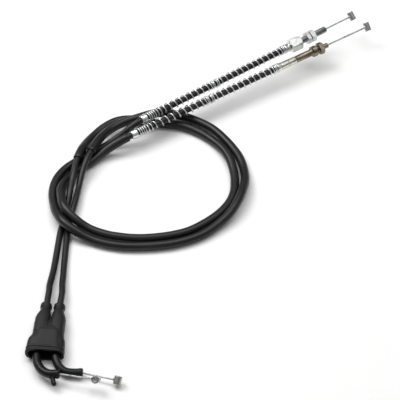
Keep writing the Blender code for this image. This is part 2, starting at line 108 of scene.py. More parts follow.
# The free stretch of each cable, as in the CAD model
PULL_ROUTE = (
    (-60, 76.2, 16.7), (-72, 70.2, 9.6), (-84.4, 64, 4.4), (-96, 55, 4.1), (-107, 45, 4.1),
    (-118, 34.5, 4.1), (-125.5, 21, 4.1), (-128, 6, 4.1), (-126.5, -9, 5), (-123.5, -23, 8.2),
    (-117.5, -36, 10.8), (-107.5, -45.5, 9.3), (-94.5, -51.5, 5), (-81, -56.5, 4.1),
    (-66.5, -59.5, 4.1), (-52, -60, 4.1), (-37, -59, 4.1), (-22.5, -56.5, 4.1), (-8.5, -51.5, 4.1),
    (4, -44.5, 4.3), (15.5, -34.5, 5.4), (25.5, -23.5, 7.2), (32.5, -10, 8.6), (37, 4.5, 8.2),
    (39.5, 19.5, 6), (38.5, 34.5, 4.1), (35, 48.5, 4.1), (28.5, 62, 4.1), (20.5, 74.5, 4.1),
    (11, 86, 4.1), (-1, 95, 4.1), (-14, 101.5, 4.5), (-28, 102.5, 7.7), (-41, 97, 12.6), (-55, 92, 12),
    (-69.5, 88.5, 8.9), (-80.5, 80, 8.3), (-88, 66.5, 11.8), (-94, 52.5, 12.9), (-99.5, 38, 12.2),
    (-103.3, 24.5, 8.3), (-105.6, 10.5, 5.4), (-107.4, -4.5, 5.9), (-110, -19.5, 5.4), (-112.5, -35, 3.1),
    (-113.6, -50, 2.9), (-114.2, -65, 2.9), (-114.6, -80, 3.2), (-114.8, -92, 4), (-115, -104, 5.4),
)
PUSH_ROUTE = (
    (-74.6, 59.2, 11), (-85.8, 52.6, 6.6), (-95.7, 43.2, 4.8), (-106, 33.5, 4.1), (-115.6, 21.5, 4.4),
    (-120.6, 7.5, 8), (-120, -7, 10.8), (-116.5, -21.5, 13), (-107.5, -33, 10.7), (-95.5, -39.5, 5.2),
    (-81.5, -45.5, 4.1), (-67.5, -49, 4.1), (-52.5, -50.5, 4.1), (-37.5, -49.5, 4.1), (-22.5, -46.5, 4.1),
    (-9, -41.5, 4.1), (3.5, -33, 4.1), (14.5, -23, 4.1), (23.5, -11, 4.1), (29, 2.5, 4.1),
    (30.5, 17, 4.1), (29.5, 32, 4.3), (26, 46.5, 5.2), (19.5, 60, 5), (10, 72, 4.1), (-1, 81.5, 4.1),
    (-14.5, 89, 4.1), (-29, 92, 4.1), (-44, 94, 4.1), (-58.5, 98, 4.1), (-73.5, 96.5, 4.1),
    (-85.5, 88, 4.1), (-95, 76, 4.2), (-101, 62.5, 8.1), (-105, 48, 12.8), (-108.5, 33, 12.8),
    (-110.6, 18, 11.3), (-113, 3.5, 6.1), (-115, -11, 3.1), (-117, -26, 2.9), (-119.4, -41.5, 2.9),
    (-120.8, -57, 2.9), (-122, -72, 2.9), (-123.2, -86, 3.4), (-124.5, -97, 4.4), (-125.6, -107, 5.8),
)
ROUTE_STEP = 2.5
SLEEVES = {"pull": (42.0, 580.0), "push": (1.0, 532.0)}    # their ends, along the free stretch

# The boot, its crimp caps, the bent pipes and the nipples beyond them
BOOT_MOUTH = Vector((-126.2, -184.6, 7.0))
BOOT_AXIS = Vector((0.088, 0.996, 0.0)).normalized()
BOOT_LENGTH = 54.5
BOOT_WALL = 1.8
BOOT_SLIDE = 12.0
NECK_OFFSET = 5.55                   # of each neck from the boot's middle
NECK_BORE_R = 2.95
CREASE_HEIGHT = 5.9                  # of the crease's middle line above the boot's
CRIMP = (15.0, 27.0)
PUSH_ELBOW = ((-132.1, -181, 7), (-132, -190.3, 7), (-130.4, -196, 7.2), (-127, -201.8, 7.7),
              (-121.5, -205.9, 8.5), (-112.9, -207, 9.3))
PULL_ELBOW = ((-117.7, -179, 6.9), (-116.9, -187.7, 6.6), (-114.4, -195.1, 5.8), (-110.3, -199.7, 5),
              (-104.6, -201.6, 4.7), (-94.5, -201.9, 4.6))
PUSH_GRIP_NIPPLE = Vector((-83.2, -214.5, 11.5))
PULL_GRIP_NIPPLE = Vector((-66.2, -210.2, 5.3))
PEG_START = Vector((-119.5, -206.4, 8.7))
PEG_END = Vector((-116.6, -216.7, 6.0))
PEG_R = 2.0
PULL_CARB_ACROSS = Vector((-0.48, 0.62, 0.62))
PUSH_CARB_ACROSS = Vector((-0.36, 0.64, 0.68))
PULL_GRIP_ACROSS = Vector((0.25, 0.68, 0.68))
PUSH_GRIP_ACROSS = Vector((-0.2, -0.69, 0.69))
GRIP_WIRE_INSIDE = 1.5

# The picture
SEEN_WIDTH = 400 / 1.15              # millimetres across it: 400 pixels, 1.15 to the millimetre
CAMERA_ELEVATION = 45.0
CAMERA_DISTANCE = 2.0                # metres


# --- paths ------------------------------------------------------------------------------------

class Path:
    """A smooth line in the layout's millimetres, with a steady frame along it.

    p, t, x and s are its points, tangents, side directions and distances along it. Station 0 of
    a piece swept along it lies at the distance shift.
    """

    def __init__(self, points, shift=0.0):
        self.shift = shift
        self.p = np.array([tuple(v) for v in points], float)
        steps = np.linalg.norm(np.diff(self.p, axis=0), axis=1)
        self.s = np.concatenate([[0.0], np.cumsum(steps)])
        self.length = self.s[-1]
        tangent = np.gradient(self.p, self.s, axis=0)
        self.t = tangent / np.linalg.norm(tangent, axis=1)[:, None]
        self.x = np.zeros_like(self.t)
        guide = np.cross(self.t[0], (0.0, 0.0, 1.0))
        if np.linalg.norm(guide) < 0.1:
            guide = np.array((1.0, 0.0, 0.0))
        for i, t in enumerate(self.t):
            guide = guide - t * (guide @ t)
            guide /= np.linalg.norm(guide)
            self.x[i] = guide

    def sample(self, s):
        """Places, tangents and side directions at distances along the path; straight beyond its ends."""
        s = np.asarray(s, float)
        inside = np.clip(s, 0.0, self.length)
        place, tangent, side = (np.stack([np.interp(inside, self.s, a[:, k]) for k in range(3)], 1)
                                for a in (self.p, self.t, self.x))
        tangent /= np.linalg.norm(tangent, axis=1)[:, None]
        place = place + tangent * (s - inside)[:, None]
        side -= tangent * (side * tangent).sum(1)[:, None]
        side /= np.linalg.norm(side, axis=1)[:, None]
        return place, tangent, side


LONG, SHORT = (-40.0, 280.0), (-20.0, 20.0)          # how far straight paths run each way


def straight(start, axis, reach=LONG):
    """A straight path whose station 0 is at the start."""
    return Path([start + axis * reach[0], start + axis * reach[1]], -reach[0])


def smooth(points, before, after, step):
    """Points at about equal steps on a curve (Catmull-Rom) through the given points."""
    knots = [Vector(before), *[Vector(p) for p in points], Vector(after)]
    dense = []
    for a, b, c, d in zip(knots, knots[1:], knots[2:], knots[3:]):
        count = max(2, round((c - b).length / step))
        for i in range(count):
            t = i / count
            dense.append(0.5 * ((2 * b) + (c - a) * t + (2 * a - 5 * b + 4 * c - d) * t * t
                                + (3 * b - a - 3 * c + d) * t ** 3))
    dense.append(knots[-2])
    return dense


def neck_point(side, distance):
    """A point on the middle line of a boot neck, side 1 or -1, at a distance from the mouth."""
    across = Vector((BOOT_AXIS.y, -BOOT_AXIS.x, 0.0))
    return BOOT_MOUTH + across * (side * NECK_OFFSET) + BOOT_AXIS * distance


# --- meshes -----------------------------------------------------------------------------------

def steps_between(start, end, size):
    """Numbers from start to end, both included, in equal steps of about the given size."""
    count = max(1, round(abs(end - start) / size))
    return [start + (end - start) * i / count for i in range(count + 1)]


SHARP_ANGLE = math.radians(38)


def sweep(name, path, stations, sides, shape=None, bore=None, step=400.0):
    """A closed skin swept along a path through (distance, radius) stations.

    With a bore, the skin turns back inside at that radius, in the given steps, and has no end
    caps. shape(angle, distance, radius) may change the radius round the section. The UVs are the
    distance along and the distance around, both in millimetres.
    """
    if bore is not None:
        stations = stations + [(s, bore) for s in steps_between(stations[-1][0], stations[0][0], step)]
    stations = np.array(stations, float)
    place, tangent, side = path.sample(stations[:, 0] + path.shift)
    other = np.cross(tangent, side)
    angle = np.arange(sides) * math.tau / sides
    radius = np.repeat(stations[:, 1][:, None], sides, axis=1)
    if shape is not None:
        radius = shape(angle[None, :], stations[:, 0][:, None], radius)
    points = (place[:, None] + side[:, None] * (np.cos(angle)[None, :, None] * radius[..., None])
              + other[:, None] * (np.sin(angle)[None, :, None] * radius[..., None]))
    points = (points.reshape(-1, 3) - np.array(ORIGIN)) * MM

    rows = len(stations)
    bands = rows if bore is not None else rows - 1       # a bored skin closes on its first row
    i, j = np.meshgrid(np.arange(bands), np.arange(sides), indexing="ij")
    up, k = (i + 1) % rows, (j + 1) % sides
    quads = np.stack([i * sides + j, i * sides + k, up * sides + k, up * sides + j], -1)
    faces = quads.reshape(-1, 4).tolist()
    if bore is None:
        faces.append(list(range(sides))[::-1])
        faces.append([(rows - 1) * sides + v for v in range(sides)])
    mesh = bpy.data.meshes.new(name)
    mesh.from_pydata(points.tolist(), [], faces)

    gaps = np.diff(np.vstack([stations, stations[:1]]), axis=0)
    run = np.concatenate([[0.0], np.cumsum(np.hypot(*gaps.T))])
    widest = float(stations[:, 1].max())
    u = np.stack([run[i], run[i], run[i + 1], run[i + 1]], -1).reshape(-1)
    v = np.stack([j, j + 1, j + 1, j], -1).reshape(-1) * (math.tau / sides) * widest
    uv = np.zeros((len(mesh.loops), 2), np.float32)
    uv[:len(u), 0] = u
    uv[:len(v), 1] = v
    mesh.uv_layers.new(name="UVMap").data.foreach_set("uv", uv.ravel())
    mesh.shade_smooth()
    mesh.set_sharp_from_angle(angle=SHARP_ANGLE)
    mesh.validate()
    made = bpy.data.objects.new(name, mesh)
    bpy.context.scene.collection.objects.link(made)
    return made


def finish_piece(piece, body, material, slot, *nodes):
    """Gives a piece its material and its body, if any, and hides the CAD nodes that it stands for; the slot
    is not used.
    """
    piece.data.materials.clear()
    piece.data.materials.append(material)
    if nodes:
        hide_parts(*nodes)
    if body:
        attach(piece, body)
    return piece


def hexagon_shape(across_flats):
    """A hexagon, no wider than the station's radius, with its corners slightly broken."""
    def shape(angle, distance, radius):
        part = (angle + math.pi / 6) % (math.pi / 3) - math.pi / 6
        broken = 0.02 * (np.abs(part) > 0.5)
        return np.minimum(radius, across_flats / 2 / np.cos(part) - broken)
    return shape


def hexagon_rows(low, high, flats, face_share, slope):
    """Stations along a hexagon whose corners are chamfered down to a round face at both ends."""
    steps = 8
    corner, face = flats / math.sqrt(3), flats / 2 * face_share
    drop = (corner - face) * slope
    rise = [(drop * i / steps, face + (corner - face) * i / steps) for i in range(steps + 1)]
    return [(low + z, r) for z, r in rise] + [(high - z, r) for z, r in reversed(rise)]


def thread_shape(low, high):
    """A helical thread with narrow flats at crest and root, which fades out at both ends."""
    def shape(angle, distance, radius):
        turn = (distance / THREAD_PITCH - angle / math.tau) % 1.0
        groove = 1.0 - np.abs(2.0 * turn - 1.0)
        cut = THREAD_DEPTH * np.clip(groove * 1.25 - 0.1, 0, 1)
        fade_in = np.clip((distance - low) / THREAD_PITCH, 0, 1)
        fade_out = np.clip((high - distance) / THREAD_PITCH, 0, 1)
        return np.where(radius > ROUND_BELOW, radius - cut * fade_in * fade_out, radius)
    return shape


def strand_shape(angle, distance, radius):
    """Twisted strands: lobes that turn as they go along."""
    lobe = np.abs(np.sin(0.5 * STRANDS * (angle - math.tau * distance / STRAND_PITCH)))
    return radius * (1.0 - STRAND_DEPTH * (1.0 - lobe) ** 1.5)


# --- materials --------------------------------------------------------------------------------
# Object coordinates are in metres and UVs in millimetres, and each noise scale goes with its own.

DUST = (0.017, 0.017, 0.0165)
WHOLE = (1.0, 1.0, 1.0)              # the mapping scale that leaves coordinates as they are


class Nodes:
    """A small helper for building one material's nodes."""

    def __init__(self, name):
        self.material = bpy.data.materials.new(name)
        self.material.use_nodes = True
        self.tree = self.material.node_tree
        self.shader = self.tree.nodes["Principled BSDF"]
        self.coords = self.tree.nodes.new("ShaderNodeTexCoord")

    def link(self, source, target):
        self.tree.links.new(source, target)

    def mapped(self, kind, scale):
        node = self.tree.nodes.new("ShaderNodeMapping")
        node.inputs["Scale"].default_value = scale
        self.link(self.coords.outputs[kind], node.inputs["Vector"])
        return node.outputs["Vector"]

    def noise(self, vector, scale, detail=4.0, roughness=0.55, distortion=0.0):
        node = self.tree.nodes.new("ShaderNodeTexNoise")
        node.inputs["Scale"].default_value = scale
        node.inputs["Detail"].default_value = detail
        node.inputs["Roughness"].default_value = roughness
        node.inputs["Distortion"].default_value = distortion
        self.link(vector, node.inputs["Vector"])
        return node.outputs["Fac"]

    def ramp(self, value, *stops):
        """A colour for each value, from (position, colour) stops."""
        node = self.tree.nodes.new("ShaderNodeValToRGB")
        ramp = node.color_ramp
        while len(ramp.elements) < len(stops):
            ramp.elements.new(0.5)
        for element, (position, colour) in zip(ramp.elements, stops):
            element.position = position
            element.color = (*colour, 1.0)
        self.link(value, node.inputs["Fac"])
        return node.outputs["Color"]

    def spread(self, value, low, high, start=0.35, end=0.65):
        """The value's range from start to end, stretched to run from low to high."""
        node = self.tree.nodes.new("ShaderNodeMapRange")
        for key, number in zip(("From Min", "From Max", "To Min", "To Max"), (start, end, low, high)):
            node.inputs[key].default_value = number
        self.link(value, node.inputs["Value"])
        return node.outputs["Result"]

    def add(self, first, second, share=0.5):
        """The first value and a share of the second."""
        node = self.tree.nodes.new("ShaderNodeMath")
        node.operation = "MULTIPLY_ADD"
        self.link(second, node.inputs[0])
        node.inputs[1].default_value = share
        self.link(first, node.inputs[2])
        return node.outputs[0]

    def bump(self, height, strength, distance):
        node = self.tree.nodes.new("ShaderNodeBump")
        node.inputs["Strength"].default_value = strength
        node.inputs["Distance"].default_value = distance
        self.link(height, node.inputs["Height"])
        self.link(node.outputs["Normal"], self.shader.inputs["Normal"])


def black_plastic(name, base, lighter, rough, grain, lines=0.0, gloss=0.36):
    """Extruded or moulded black material: fine grain, faint draw lines and a trace of dust."""
    n = Nodes(name)
    solid = n.mapped("Object", WHOLE)
    patches = n.noise(solid, 45.0, 5.0)
    fine = n.noise(solid, grain, 6.0, 0.65)
    colour = n.ramp(patches, (0.3, base), (0.62, lighter), (0.85, DUST))
    n.link(colour, n.shader.inputs["Base Color"])
    n.shader.inputs["Specular IOR Level"].default_value = gloss
    n.link(n.spread(n.add(patches, fine, 0.6), rough - 0.06, rough + 0.1, 0.5, 1.1),
           n.shader.inputs["Roughness"])
    height = fine
    if lines:
        drawn = n.noise(n.mapped("UV", (0.02, 3.0, 1.0)), 1.0, 3.0)
        height = n.add(fine, drawn, lines)
    n.bump(height, 0.25, 0.0001)
    return n.material


def plated(name, dark, light, rough, tint=None, scratch=0.6, marks=(4.2, 0.02)):
    """Plated or machined metal: turning marks, fine specks and uneven plating.

    marks says how fast the marks change along the piece and around it.
    """
    n = Nodes(name)
    solid = n.mapped("Object", WHOLE)
    patches = n.noise(solid, 160.0, 4.0, 0.6, 0.4)
    turned = n.noise(n.mapped("UV", (*marks, 1.0)), 2.4, 3.0)
    specks = n.noise(solid, 2600.0, 3.0)
    worn = n.add(turned, specks)
    stops = [(0.28, dark), (0.55, light)]
    if tint is not None:
        stops.append((0.8, tint))
    n.link(n.ramp(patches, *stops), n.shader.inputs["Base Color"])
    n.shader.inputs["Metallic"].default_value = 1.0
    n.link(n.spread(worn, rough - 0.07, rough + 0.14, 0.45, 1.0), n.shader.inputs["Roughness"])
    n.bump(worn, 0.3 * scratch, 0.00006)
    return n.material


def stranded(name):
    """Steel strands with darker patches, as from a trace of grease."""
    n = Nodes(name)
    solid = n.mapped("Object", WHOLE)
    patches = n.noise(solid, 420.0, 4.0)
    colour = n.ramp(patches, (0.3, (0.2, 0.2, 0.2)), (0.6, (0.5, 0.51, 0.52)))
    n.link(colour, n.shader.inputs["Base Color"])
    n.shader.inputs["Metallic"].default_value = 1.0
    n.link(n.spread(patches, 0.25, 0.45), n.shader.inputs["Roughness"])
    n.bump(patches, 0.2, 0.00004)
    return n.material


def pale_floor(name):
    """White paper, very slightly mottled."""
    n = Nodes(name)
    mottled = n.noise(n.mapped("Object", WHOLE), 6.0, 3.0)
    colour = n.ramp(mottled, (0.3, (0.93, 0.93, 0.925)), (0.7, (0.955, 0.955, 0.95)))
    n.link(colour, n.shader.inputs["Base Color"])
    n.shader.inputs["Roughness"].default_value = 0.9
    n.shader.inputs["Specular IOR Level"].default_value = 0.1
    return n.material


VINYL = black_plastic("casing_vinyl", (0.006, 0.006, 0.0063), (0.010, 0.010, 0.0105), 0.37, 1500.0, lines=0.5)
SLEEVE = black_plastic("sleeve_vinyl", (0.0055, 0.0055, 0.006), (0.010, 0.010, 0.011), 0.33, 900.0, lines=0.9)
RUBBER = black_plastic("boot_rubber", (0.006, 0.006, 0.0068), (0.0105, 0.0105, 0.012), 0.46, 1900.0,
                       gloss=0.3)
PIPE = black_plastic("pipe_coating", (0.003, 0.003, 0.0034), (0.0055, 0.0055, 0.006), 0.36, 1100.0,
                     gloss=0.25)
BRIGHT = plated("bright_zinc_plate", (0.55, 0.57, 0.57), (0.82, 0.83, 0.82), 0.22, (0.72, 0.76, 0.75))
PALE_ZINC = plated("pale_zinc_plate", (0.40, 0.39, 0.34), (0.72, 0.71, 0.63), 0.2, (0.55, 0.54, 0.47))
SPRING = plated("spring_wire_plate", (0.52, 0.53, 0.54), (0.86, 0.87, 0.87), 0.22, (0.74, 0.76, 0.79),
                scratch=0.4)
ZINC = plated("zinc_plate", (0.36, 0.38, 0.38), (0.62, 0.64, 0.63), 0.24, (0.5, 0.56, 0.56))
YELLOW = plated("yellow_zinc_plate", (0.105, 0.09, 0.066), (0.24, 0.208, 0.155), 0.22, (0.26, 0.215, 0.15))
# The adjuster's thread is the same bright zinc as its head; these darker colours are painted shade, standing
# in for the shade in its grooves.
THREAD = plated("thread_painted_shade", (0.16, 0.17, 0.18), (0.34, 0.35, 0.36), 0.34, scratch=0.8)
CAST = plated("cast_nipple", (0.24, 0.24, 0.24), (0.46, 0.46, 0.45), 0.3, (0.54, 0.55, 0.55), scratch=1.2,
              marks=(0.28, 0.3))
WIRE = stranded("stranded_wire")


# --- the cables -------------------------------------------------------------------------------

SIDES = {"pull": 1, "push": -1}
STARTS = {"pull": (PULL_START, PULL_AXIS), "push": (PUSH_START, PUSH_AXIS)}
CUPS = {"pull": (PULL_CUP, PULL_UPPER_CUP), "push": (PUSH_CUP, PUSH_UPPER_CUP)}
COILS = {"pull": PULL_SPRINGS, "push": PUSH_SPRINGS}
ROUTES = {"pull": PULL_ROUTE, "push": PUSH_ROUTE}
CARB = {name: straight(*STARTS[name]) for name in STARTS}


def layout(point):
    """A point of the layout, in millimetres, as a place in the frame, in metres."""
    return tuple((Vector(point) - ORIGIN) * MM)


def free_points(name):
    """The curved stretch from the lower spring cup to the boot's neck, in fine steps."""
    start, axis = STARTS[name]
    low = CUPS[name][0][0]
    last = neck_point(SIDES[name], BOOT_LENGTH + BOOT_SLIDE + 2.0)
    return smooth([start + axis * (low - 2.0), *ROUTES[name], last], start + axis * low,
                  neck_point(SIDES[name], BOOT_LENGTH), ROUTE_STEP)


def protective_spring(name, label, reach):
    """One bright spring: close coils at its ends, opening out to even ones, never quite regular."""
    per_turn = 22
    first = CUP_PITCHES if label == "lower" else END_PITCHES
    low, high = reach[0] + SPRING_WIRE_R, reach[1] - SPRING_WIRE_R
    open_length = high - low - sum(first) - sum(END_PITCHES)
    open_turns = round(open_length / OPEN_PITCH)
    pitches = [*first, *[open_length / open_turns] * open_turns, *reversed(END_PITCHES)]
    stops = low + np.concatenate([[0.0], np.cumsum(pitches)])
    turn = np.arange(len(pitches) * per_turn + 1) / per_turn
    z = np.interp(turn, np.arange(len(stops)), stops)
    z += SPRING_WANDER * np.sin(turn * 1.7 + len(label)) * np.sin(math.pi * turn / turn[-1]) ** 2
    path = CARB[name]
    place, tangent, side = path.sample(z + path.shift)
    other = np.cross(tangent, side)
    angle = math.tau * turn
    out, over = SPRING_R * np.cos(angle), SPRING_R * np.sin(angle)
    wire = Path(place + side * out[:, None] + other * over[:, None])
    taper = [(0.0, 0.55), (0.15, 0.85), (0.35, 1.0)]
    rows = [(x, SPRING_WIRE_R * share) for x, share in taper]
    rows += [(x, SPRING_WIRE_R) for x in wire.s[1:-1]]
    rows += [(wire.length - x, SPRING_WIRE_R * share) for x, share in reversed(taper)]
    piece = sweep(f"{name}_protective_spring_{label}", wire, rows, 10)
    return finish_piece(piece, "cable_set", SPRING, "bright_zinc", f"{name}_spring_{label}")


def spring_cup(name, label, reach):
    """A pressed cup: a rolled rim towards the spring and a drawn shoulder away from it."""
    low, high = reach
    shoulder, sign = (low, 1.0) if label == "lower" else (high, -1.0)
    length = high - low
    rows = [(0.4, 2.9), (0.0, 3.0), (-0.05, 3.3), (0.15, 3.65), (0.5, 3.85), (length * 0.35, CUP_R - 0.3),
            (length * 0.5, CUP_R - 0.28), (length * 0.62, CUP_R - 0.22), (length * 0.72, CUP_R),
            (length - 0.5, CUP_R), (length - 0.2, CUP_R - 0.08), (length, CUP_R - 0.3), (length, 3.4),
            (length - 0.3, 3.2), (length - 1.0, 3.1)]
    rows = [(shoulder + sign * z, r) for z, r in rows]
    if sign < 0:
        rows.reverse()
    piece = sweep(f"{name}_cup_{label}", CARB[name], rows, 48, bore=CASING_R + 0.1)
    return finish_piece(piece, "cable_set", BRIGHT, "bright_zinc", f"{name}_spring_cup_{label}")


def cable(name):
    """A casing with its sleeve, springs and cups."""
    side = SIDES[name]
    start, axis = STARTS[name]
    free = free_points(name)
    inside = [neck_point(side, BOOT_LENGTH - 6.0), neck_point(side, CRIMP[0] + 2.6)]
    carb = [start + axis * s for s in np.linspace(CASING_ENDS[name], CUPS[name][0][0], 30)[:-1]]
    points = (carb + free + inside)[::-1]
    line = Path(points)              # from the crimp cap in the boot to the carburettor end
    rows = [(0.0, CASING_R - 0.2), (0.2, CASING_R)]
    rows += [(s, CASING_R * (1.0 + 0.006 * math.sin(s * 0.21))) for s in line.s[1:-1]]
    rows += [(line.length - 0.2, CASING_R), (line.length, CASING_R - 0.2)]
    casing = sweep(f"{name}_cable_casing", line, rows, 24, bore=BORE_R, step=ROUTE_STEP)
    finish_piece(casing, "cable_set", VINYL, "vinyl", f"{name}_casing")

    stretch = Path(free)
    low, high = SLEEVES[name]
    bore, wall = CASING_R + 0.12, SLEEVE_R
    rows = [(low, bore + 0.1), (low - 0.05, wall - 0.4), (low + 0.12, wall - 0.12)]
    rows += [(s, wall * (1.0 + 0.006 * math.sin(s * 0.13) + 0.004 * math.sin(s * 0.37)))
             for s in steps_between(low + 0.5, high - 0.5, ROUTE_STEP)]
    rows += [(high - 0.12, wall - 0.12), (high + 0.05, wall - 0.4), (high, bore + 0.1)]
    sleeve = sweep(f"{name}_cable_sleeve", stretch, rows, 32, bore=bore, step=ROUTE_STEP)
    finish_piece(sleeve, "cable_set", SLEEVE, "sleeve", f"{name}_sleeve")

    pieces = [sleeve]
    pieces += [protective_spring(name, *both) for both in zip(("lower", "upper"), COILS[name])]
    pieces += [spring_cup(name, *both) for both in zip(("lower", "upper"), CUPS[name])]


# --- the carburettor ends ---------------------------------------------------------------------

def lock_nut(name, line, reach, body, material, node):
    """A hexagonal nut with chamfered corners and a countersunk bore."""
    low, high = reach
    rows = [(low + 0.5, 3.1), (low, 3.5), *hexagon_rows(low, high, NUT_FLATS, 0.94, 0.5),
            (high, 3.5), (high - 0.5, 3.1)]
    piece = sweep(name, line, rows, 96, hexagon_shape(NUT_FLATS), bore=THREAD_R + 0.1)
    finish_piece(piece, body, material, "zinc", node)


def pull_adjuster():
    """The hexagonal adjuster head, the threaded tube that turns with it, and the two lock nuts."""
    low, high = PULL_HEX
    rows = [(low, 3.3), *hexagon_rows(low, high, HEX_FLATS, 0.93, 0.55),
            (high, 3.6), (high - 0.8, 3.5), (high - 1.2, 3.2)]
    head = sweep("adjuster_hexagon", CARB["pull"], rows, 96, hexagon_shape(HEX_FLATS), bore=HEX_BORE_R)
    finish_piece(head, "pull_adjuster", BRIGHT, "bright_zinc", "pull_adjuster")

    top = PULL_TIP
    rows = [(high - 2.4, 2.2), (high - 2.4, 3.1), (high - 1.3, 3.1), (high - 1.2, 2.6), (high + 0.2, 2.6)]
    rows += [(z, THREAD_R) for z in steps_between(high + 0.6, top - 0.5, THREAD_PITCH / 12)]
    rows += [(top - 0.25, THREAD_R - 0.25), (top, 2.2), (top, 1.5)]
    tube = sweep("adjuster_thread", CARB["pull"], rows, 48, thread_shape(high + 0.8, top - 0.6), bore=BORE_R)
    # The thread tube is bright zinc; its darker material is painted shade.
    finish_piece(tube, "pull_adjuster", THREAD, "bright_zinc", "pull_adjuster")
    for label, reach in zip(("inner", "outer"), PULL_NUTS):
        lock_nut(f"adjuster_nut_{label}", CARB["pull"], reach, f"pull_nut_{label}", ZINC,
                 f"pull_lock_nut_{label}")


def push_fittings():
    """The smooth ferrule, the yellow-plated tube with its collar, thread and plain tip, and the nut."""
    low, high = PUSH_FERRULE
    rows = [(low, 3.0), (low, 3.3), (low + 0.25, 3.5), (low + 3.0, 3.5), (low + 3.4, 3.44)]
    rows += [(high - 1.6, 3.44), (high - 1.2, 3.38), (high - 0.3, 3.38), (high, 3.15)]
    ferrule = sweep("push_crimped_ferrule", CARB["push"], rows, 48, bore=CASING_R + 0.1)
    finish_piece(ferrule, "cable_set", PALE_ZINC, "bright_zinc", "push_casing_ferrule")

    low, high = PUSH_TUBE
    collar_low, collar_high = PUSH_COLLAR
    thread_end = high - TIP_LENGTH
    ridges = steps_between(collar_low + 0.8, collar_high - 0.8, 0.5)
    rows = [(low, TUBE_R - 0.25), (low + 0.25, TUBE_R), (collar_low - 0.5, TUBE_R),
            (collar_low - 0.2, 3.35), (collar_low, 3.6), (collar_low, COLLAR_R - 0.4),
            (collar_low + 0.4, COLLAR_R)]
    rows += [(z, COLLAR_R - 0.07 * (i % 2)) for i, z in enumerate(ridges)]
    rows += [(collar_high - 0.4, COLLAR_R), (collar_high, COLLAR_R - 0.4), (collar_high, 3.1),
             (collar_high + 0.2, 2.7), (collar_high + 0.6, 2.7)]
    rows += [(z, THREAD_R) for z in steps_between(collar_high + 0.7, thread_end, THREAD_PITCH / 12)]
    rows += [(thread_end + 0.4, TIP_R), (high - 0.3, TIP_R), (high, TIP_R - 0.25), (high, 1.5)]
    tube = sweep("push_threaded_tube", CARB["push"], rows, 48,
                 thread_shape(collar_high + 0.6, thread_end), bore=BORE_R)
    finish_piece(tube, "cable_set", YELLOW, "yellow_zinc", "push_threaded_ferrule")
    lock_nut("push_nut", CARB["push"], PUSH_NUT, "push_nut", YELLOW, "push_lock_nut")


def strand_rows(low, high):
    """Stations of a stranded wire, with a short taper where it is cut."""
    rows = [(low, WIRE_R * 0.6), (low + 0.15, WIRE_R * 0.95)]
    rows += [(z, WIRE_R) for z in steps_between(low + 0.3, high - 0.1, 0.3)]
    rows += [(high, WIRE_R * 0.9)]
    return rows


def nipple(name, centre, axis, size, wire_direction, body, node):
    """A die-cast barrel: rounded ends with a shallow dish, a parting line and the wire's fillet."""
    barrel, half = size[0], size[1] / 2
    line = straight(centre, axis.normalized(), SHORT)
    end = [(0.35, 0.6), (0.3, 1.6), (0.05, 1.9), (0.0, 2.2), (0.0, barrel - 0.5)]
    end += [(0.35 * (1 - math.cos(a)), barrel - 0.5 + 0.5 * math.sin(a))
            for a in np.linspace(0.3, math.pi / 2, 5)]
    rows = [(-half + z, r) for z, r in end]
    rows += [(z, barrel) for z in steps_between(-half + 0.8, half - 0.8, 0.7)]
    rows += [(half - z, r) for z, r in reversed(end)]

    def seam(angle, distance, radius):
        ridge = np.exp(-(np.sin(angle) / 0.07) ** 2)
        return radius + 0.06 * ridge * (radius > barrel - 0.1)

    finish_piece(sweep(name, line, rows, 64, seam), body, CAST, "nipple", node)
    collar = straight(centre, wire_direction.normalized(), SHORT)
    rows = [(-barrel - 0.9, WIRE_R), (-barrel - 0.75, WIRE_R + 0.12), (-barrel - 0.3, WIRE_R + 0.5),
            (-barrel + 0.3, WIRE_R + 0.95), (-barrel + 0.9, WIRE_R + 1.0)]
    bead = sweep(name + "_wire_fillet", collar, rows, 24)
    finish_piece(bead, body, CAST, "nipple")


def carb_wire(name, tip, station):
    """The straight stranded wire at the carburettor end, from inside its fitting to its nipple."""
    rows = strand_rows(tip - TRAVEL_OUT[name] - WIRE_INSIDE, station - CARB_NIPPLE[0] + 0.2)
    piece = sweep(f"{name}_inner_wire_carb", CARB[name], rows, 6 * STRANDS, strand_shape)
    finish_piece(piece, f"{name}_carb_end", WIRE, "steel_wire", f"{name}_carb_wire")


# --- the grip end -----------------------------------------------------------------------------

def elbow(name, route, nipple_centre):
    """A bent pipe with a rolled collar at its open end, and the stranded wire out of it.

    Returns the direction of the wire.
    """
    side = SIDES[name]
    last = Vector(route[-1])
    direction = (nipple_centre - last).normalized()
    points = smooth([neck_point(side, CRIMP[0] - 1.2), *route], neck_point(side, CRIMP[0] + 10.0),
                    last + direction * 8.0, 1.0)
    line = Path(points)
    end, r = line.length, ELBOW_R
    rows = [(0.0, r - 0.2), (0.2, r)]
    rows += [(s, r) for s in steps_between(0.6, end - 3.6, 0.9)]
    rows += [(end - 3.4, r + 0.02), (end - 3.1, r + 0.22), (end - 2.8, r + 0.28), (end - 0.9, r + 0.28),
             (end - 0.5, r + 0.2), (end - 0.15, r - 0.1), (end, r - 0.6), (end, 1.75), (end - 0.4, 1.45)]
    piece = sweep(f"{name}_bent_pipe", line, rows, 40, bore=BORE_R, step=1.5)
    finish_piece(piece, "cable_set", PIPE, "black_pipe", f"{name}_elbow")

    wire = straight(last, direction, (-10.0, 60.0))
    reach = (nipple_centre - last).length - GRIP_NIPPLE[0]
    rows = strand_rows(-GRIP_WIRE_INSIDE, reach + 0.2)
    strands = sweep(f"{name}_inner_wire_grip", wire, rows, 6 * STRANDS, strand_shape)
    finish_piece(strands, None, WIRE, "steel_wire", f"{name}_grip_wire")
    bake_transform(strands)
    return direction


